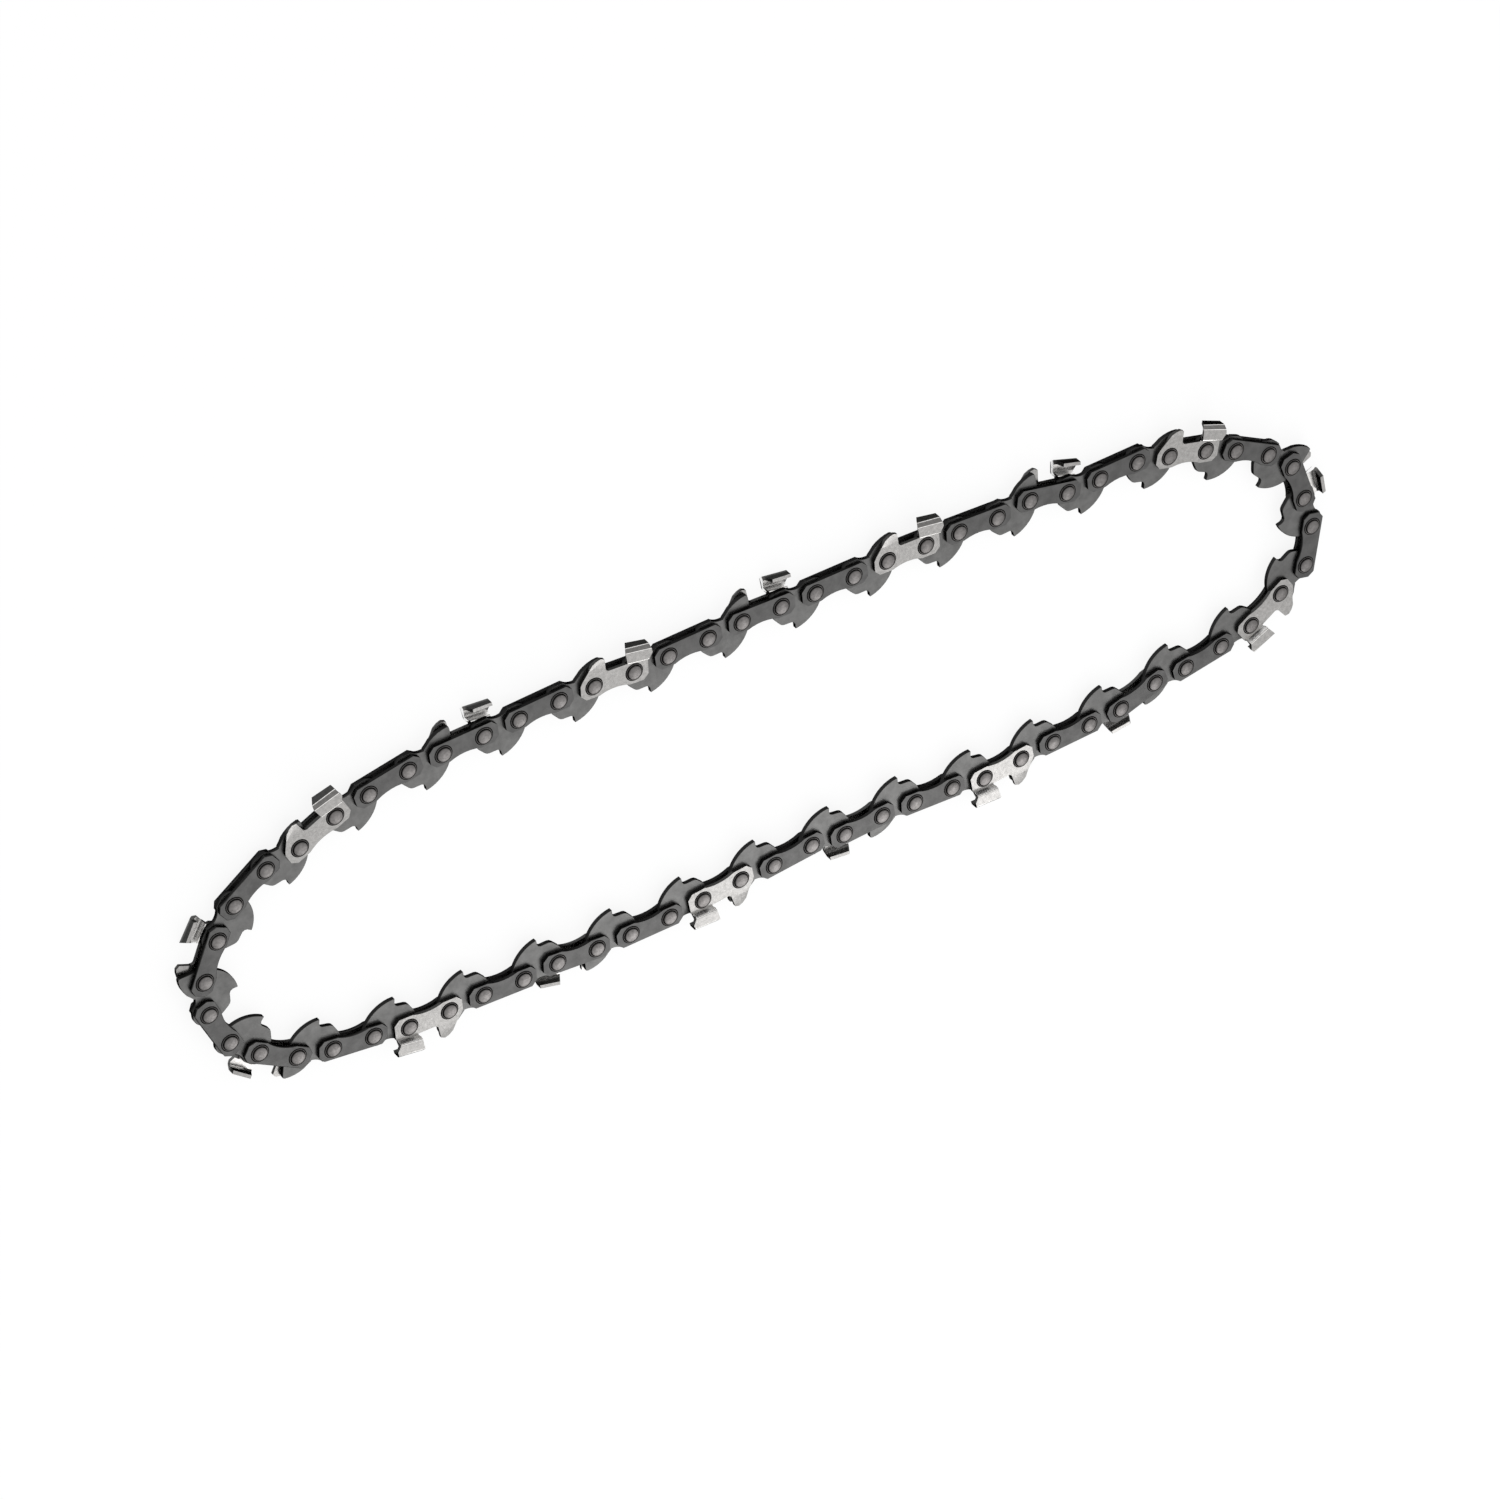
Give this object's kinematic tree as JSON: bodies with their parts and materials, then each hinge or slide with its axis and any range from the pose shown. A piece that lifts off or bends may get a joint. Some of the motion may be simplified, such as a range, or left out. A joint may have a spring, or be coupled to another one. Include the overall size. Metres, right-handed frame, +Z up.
{
  "type": "chainsaw chain loop",
  "caption": "Closed loop of low-profile saw chain lying flat: chrome cutters with depth gauges, tie straps and tanged drive links on shouldered rivets.",
  "frame": {"origin": "centre of the loop, on the surface that it lies on", "axes": "+X along the loop to its wider-bent end, +Y across the loop to the run that is farther from the camera, +Z up"},
  "size_m": [0.296, 0.0823, 0.0056],
  "materials": {
    "cutter_steel": "hard chrome plate, satin, with fine tumbling marks",
    "strap_steel": "tumbled, satin grey",
    "drive_steel": "tumbled, satin grey with light edges",
    "rivet_steel": "blued steel with a spun, brighter head"
  },
  "bodies": {
    "back_run": {"back_run_drive_links": "drive_steel", "back_run_tie_straps": "strap_steel", "back_run_rivets": "rivet_steel", "right_cutter_19": "cutter_steel", "left_cutter_21": "cutter_steel", "right_cutter_23": "cutter_steel", "left_cutter_25": "cutter_steel", "right_cutter_27": "cutter_steel"},
    "front_run": {"front_run_drive_links": "drive_steel", "front_run_tie_straps": "strap_steel", "front_run_rivets": "rivet_steel", "left_cutter_01": "cutter_steel", "right_cutter_03": "cutter_steel", "left_cutter_05": "cutter_steel", "right_cutter_07": "cutter_steel", "left_cutter_09": "cutter_steel", "right_cutter_11": "cutter_steel"},
    "outer_12": {"tie_straps_12": "strap_steel", "rivets_12": "rivet_steel"},
    "drive_12": {"drive_link_12": "drive_steel"},
    "outer_13": {"left_cutter_13": "cutter_steel", "tie_strap_13": "strap_steel", "rivets_13": "rivet_steel"},
    "drive_13": {"drive_link_13": "drive_steel"},
    "outer_14": {"tie_straps_14": "strap_steel", "rivets_14": "rivet_steel"},
    "drive_14": {"drive_link_14": "drive_steel"},
    "outer_15": {"right_cutter_15": "cutter_steel", "tie_strap_15": "strap_steel", "rivets_15": "rivet_steel"},
    "drive_15": {"drive_link_15": "drive_steel"},
    "outer_16": {"tie_straps_16": "strap_steel", "rivets_16": "rivet_steel"},
    "drive_16": {"drive_link_16": "drive_steel"},
    "outer_17": {"left_cutter_17": "cutter_steel", "tie_strap_17": "strap_steel", "rivets_17": "rivet_steel"},
    "drive_17": {"drive_link_17": "drive_steel"},
    "outer_29": {"left_cutter_29": "cutter_steel", "tie_strap_29": "strap_steel", "rivets_29": "rivet_steel"},
    "drive_29": {"drive_link_29": "drive_steel"},
    "outer_30": {"tie_straps_30": "strap_steel", "rivets_30": "rivet_steel"},
    "drive_30": {"drive_link_30": "drive_steel"},
    "outer_31": {"right_cutter_31": "cutter_steel", "tie_strap_31": "strap_steel", "rivets_31": "rivet_steel"},
    "drive_31": {"drive_link_31": "drive_steel"},
    "outer_32": {"tie_straps_32": "strap_steel", "rivets_32": "rivet_steel"},
    "drive_32": {"drive_link_32": "drive_steel"},
    "outer_33": {"right_cutter_33": "cutter_steel", "tie_strap_33": "strap_steel", "rivets_33": "rivet_steel"},
    "drive_33": {"drive_link_33": "drive_steel"},
    "outer_34": {"tie_straps_34": "strap_steel", "rivets_34": "rivet_steel"},
    "drive_34": {"drive_link_34": "drive_steel"}
  },
  "joints": [
    {"name": "lead_rivet_17", "type": "hinge", "parent": "back_run", "child": "outer_17", "pos_m": [0.10599, 0.02951, 0.0028], "axis": [0, 0, 1], "range_deg": [-15, 15]},
    {"name": "trail_rivet_17", "type": "hinge", "parent": "outer_17", "child": "drive_17", "pos_m": [0.1156, 0.02694, 0.0028], "axis": [0, 0, 1], "range_deg": [-30, 30]},
    {"name": "lead_rivet_16", "type": "hinge", "parent": "drive_17", "child": "outer_16", "pos_m": [0.12354, 0.0234, 0.0028], "axis": [0, 0, 1], "range_deg": [-30, 30]},
    {"name": "trail_rivet_16", "type": "hinge", "parent": "outer_16", "child": "drive_16", "pos_m": [0.13224, 0.01858, 0.0028], "axis": [0, 0, 1], "range_deg": [-30, 30]},
    {"name": "lead_rivet_15", "type": "hinge", "parent": "drive_16", "child": "outer_15", "pos_m": [0.13849, 0.01254, 0.0028], "axis": [0, 0, 1], "range_deg": [-30, 30]},
    {"name": "trail_rivet_15", "type": "hinge", "parent": "outer_15", "child": "drive_15", "pos_m": [0.14107, 0.00293, 0.0028], "axis": [0, 0, 1], "range_deg": [-30, 30]},
    {"name": "lead_rivet_14", "type": "hinge", "parent": "drive_15", "child": "outer_14", "pos_m": [0.14288, -0.00557, 0.0028], "axis": [0, 0, 1], "range_deg": [-30, 30]},
    {"name": "trail_rivet_14", "type": "hinge", "parent": "outer_14", "child": "drive_14", "pos_m": [0.14055, -0.01524, 0.0028], "axis": [0, 0, 1], "range_deg": [-30, 30]},
    {"name": "lead_rivet_13", "type": "hinge", "parent": "drive_14", "child": "outer_13", "pos_m": [0.13333, -0.02007, 0.0028], "axis": [0, 0, 1], "range_deg": [-30, 30]},
    {"name": "trail_rivet_13", "type": "hinge", "parent": "outer_13", "child": "drive_13", "pos_m": [0.1248, -0.02519, 0.0028], "axis": [0, 0, 1], "range_deg": [-30, 30]},
    {"name": "lead_rivet_12", "type": "hinge", "parent": "drive_13", "child": "outer_12", "pos_m": [0.11636, -0.02729, 0.0028], "axis": [0, 0, 1], "range_deg": [-30, 30]},
    {"name": "trail_rivet_12", "type": "hinge", "parent": "outer_12", "child": "drive_12", "pos_m": [0.10654, -0.02885, 0.0028], "axis": [0, 0, 1], "range_deg": [-30, 30]},
    {"name": "lead_rivet_11", "type": "hinge", "parent": "drive_12", "child": "front_run", "pos_m": [0.09785, -0.02915, 0.0028], "axis": [0, 0, 1], "range_deg": [-30, 30]},
    {"name": "lead_rivet_28", "type": "hinge", "parent": "back_run", "child": "drive_29", "pos_m": [-0.09829, 0.03163, 0.0028], "axis": [0, 0, 1], "range_deg": [-30, 30]},
    {"name": "trail_rivet_29", "type": "hinge", "parent": "drive_29", "child": "outer_29", "pos_m": [-0.10679, 0.02983, 0.0028], "axis": [0, 0, 1], "range_deg": [-30, 30]},
    {"name": "lead_rivet_29", "type": "hinge", "parent": "outer_29", "child": "drive_30", "pos_m": [-0.11588, 0.02578, 0.0028], "axis": [0, 0, 1], "range_deg": [-30, 30]},
    {"name": "trail_rivet_30", "type": "hinge", "parent": "drive_30", "child": "outer_30", "pos_m": [-0.12438, 0.02397, 0.0028], "axis": [0, 0, 1], "range_deg": [-30, 30]},
    {"name": "lead_rivet_30", "type": "hinge", "parent": "outer_30", "child": "drive_31", "pos_m": [-0.13272, 0.01855, 0.0028], "axis": [0, 0, 1], "range_deg": [-30, 30]},
    {"name": "trail_rivet_31", "type": "hinge", "parent": "drive_31", "child": "outer_31", "pos_m": [-0.13783, 0.01152, 0.0028], "axis": [0, 0, 1], "range_deg": [-30, 30]},
    {"name": "lead_rivet_31", "type": "hinge", "parent": "outer_31", "child": "drive_32", "pos_m": [-0.14235, 0.00266, 0.0028], "axis": [0, 0, 1], "range_deg": [-30, 30]},
    {"name": "trail_rivet_32", "type": "hinge", "parent": "drive_32", "child": "outer_32", "pos_m": [-0.14265, -0.00603, 0.0028], "axis": [0, 0, 1], "range_deg": [-30, 30]},
    {"name": "lead_rivet_32", "type": "hinge", "parent": "outer_32", "child": "drive_33", "pos_m": [-0.13908, -0.01532, 0.0028], "axis": [0, 0, 1], "range_deg": [-30, 30]},
    {"name": "trail_rivet_33", "type": "hinge", "parent": "drive_33", "child": "outer_33", "pos_m": [-0.13283, -0.02135, 0.0028], "axis": [0, 0, 1], "range_deg": [-30, 30]},
    {"name": "lead_rivet_33", "type": "hinge", "parent": "outer_33", "child": "drive_34", "pos_m": [-0.12439, -0.02663, 0.0028], "axis": [0, 0, 1], "range_deg": [-30, 30]},
    {"name": "trail_rivet_34", "type": "hinge", "parent": "drive_34", "child": "outer_34", "pos_m": [-0.11596, -0.02873, 0.0028], "axis": [0, 0, 1], "range_deg": [-30, 30]}
  ],
  "couplings": [
    {"joint": "trail_rivet_17", "follows": "lead_rivet_17", "ratio": -0.7987},
    {"joint": "lead_rivet_16", "follows": "lead_rivet_17", "ratio": -0.79894},
    {"joint": "trail_rivet_16", "follows": "lead_rivet_17", "ratio": 0.90036},
    {"joint": "lead_rivet_15", "follows": "lead_rivet_17", "ratio": -0.79821},
    {"joint": "trail_rivet_15", "follows": "lead_rivet_17", "ratio": 1.1727},
    {"joint": "lead_rivet_14", "follows": "lead_rivet_17", "ratio": -0.78309},
    {"joint": "trail_rivet_14", "follows": "lead_rivet_17", "ratio": -0.77026},
    {"joint": "lead_rivet_13", "follows": "lead_rivet_17", "ratio": -0.77476},
    {"joint": "trail_rivet_13", "follows": "lead_rivet_17", "ratio": 0.79514},
    {"joint": "lead_rivet_12", "follows": "lead_rivet_17", "ratio": 0.79451},
    {"joint": "trail_rivet_12", "follows": "lead_rivet_17", "ratio": 1.0272},
    {"joint": "lead_rivet_11", "follows": "lead_rivet_17", "ratio": -0.96597},
    {"joint": "lead_rivet_28", "follows": "lead_rivet_17", "ratio": -0.80021},
    {"joint": "trail_rivet_29", "follows": "lead_rivet_17", "ratio": -0.80097},
    {"joint": "lead_rivet_29", "follows": "lead_rivet_17", "ratio": 1.2875},
    {"joint": "trail_rivet_30", "follows": "lead_rivet_17", "ratio": -0.77689},
    {"joint": "lead_rivet_30", "follows": "lead_rivet_17", "ratio": 1.31},
    {"joint": "trail_rivet_31", "follows": "lead_rivet_17", "ratio": -0.77918},
    {"joint": "lead_rivet_31", "follows": "lead_rivet_17", "ratio": 1.2405},
    {"joint": "trail_rivet_32", "follows": "lead_rivet_17", "ratio": -0.79752},
    {"joint": "lead_rivet_32", "follows": "lead_rivet_17", "ratio": 0.80331},
    {"joint": "trail_rivet_33", "follows": "lead_rivet_17", "ratio": -1.1886},
    {"joint": "lead_rivet_33", "follows": "lead_rivet_17", "ratio": 0.79853},
    {"joint": "trail_rivet_34", "follows": "lead_rivet_17", "ratio": -1.1624}
  ]
}
